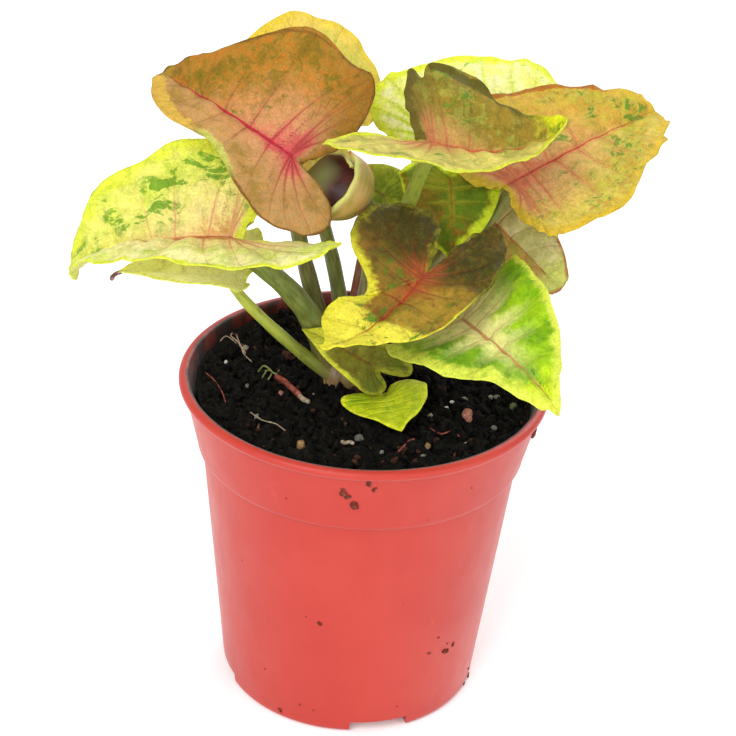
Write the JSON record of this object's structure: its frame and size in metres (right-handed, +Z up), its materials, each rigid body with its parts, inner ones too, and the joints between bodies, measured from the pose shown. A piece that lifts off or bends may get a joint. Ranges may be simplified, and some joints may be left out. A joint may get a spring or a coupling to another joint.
{
  "type": "arrowhead plant in pot",
  "caption": "Bushy arrowhead plant with variegated lime, pink and bronze arrow-shaped leaves, in a small terracotta-red nursery pot with dark soil.",
  "frame": {"origin": "middle of the pot's flat underside, where the pot stands on its support", "axes": "+Z up along the pot's axis; -Y towards the picture's camera, so the plant's front; +X to the picture's right"},
  "size_m": [0.0943, 0.0726, 0.1093],
  "materials": {
    "pot": "moulded terracotta-red plastic, soft satin",
    "soil": null,
    "stems": "satin plant skin; leather stands in for plant tissue",
    "leaf_crimson": "soft satin leaf, variegated; leather stands in for plant tissue",
    "leaf_amber": "soft satin leaf, variegated; leather stands in for plant tissue",
    "leaf_cream": "soft satin leaf, variegated; leather stands in for plant tissue",
    "leaf_under_cream": "soft satin leaf, variegated; leather stands in for plant tissue",
    "leaf_lime": "soft satin leaf, variegated; leather stands in for plant tissue",
    "leaf_olive": "soft satin leaf, variegated; leather stands in for plant tissue",
    "leaf_pink": "soft satin leaf, variegated; leather stands in for plant tissue",
    "leaf_edge_on": "soft satin leaf, variegated; leather stands in for plant tissue",
    "leaf_front": "soft satin leaf, variegated; leather stands in for plant tissue",
    "leaf_green": "soft satin leaf, variegated; leather stands in for plant tissue",
    "leaf_low": "soft satin leaf, variegated; leather stands in for plant tissue",
    "leaf_heart": "soft satin leaf, variegated; leather stands in for plant tissue",
    "leaf_inner": "soft satin leaf, variegated; leather stands in for plant tissue",
    "leaf_behind": "soft satin leaf, variegated; leather stands in for plant tissue",
    "leaf_rolled": "soft satin leaf, variegated; leather stands in for plant tissue"
  },
  "bodies": {
    "root": {"pot": "pot", "soil": "soil", "stems": "stems", "leaf_crimson": "leaf_crimson", "leaf_amber": "leaf_amber", "leaf_cream": "leaf_cream", "leaf_under_cream": "leaf_under_cream", "leaf_lime": "leaf_lime", "leaf_olive": "leaf_olive", "leaf_pink": "leaf_pink", "leaf_edge_on": "leaf_edge_on", "leaf_front": "leaf_front", "leaf_green": "leaf_green", "leaf_low": "leaf_low", "leaf_heart": "leaf_heart", "leaf_inner": "leaf_inner", "leaf_behind": "leaf_behind", "leaf_rolled": "leaf_rolled"}
  },
  "joints": []
}
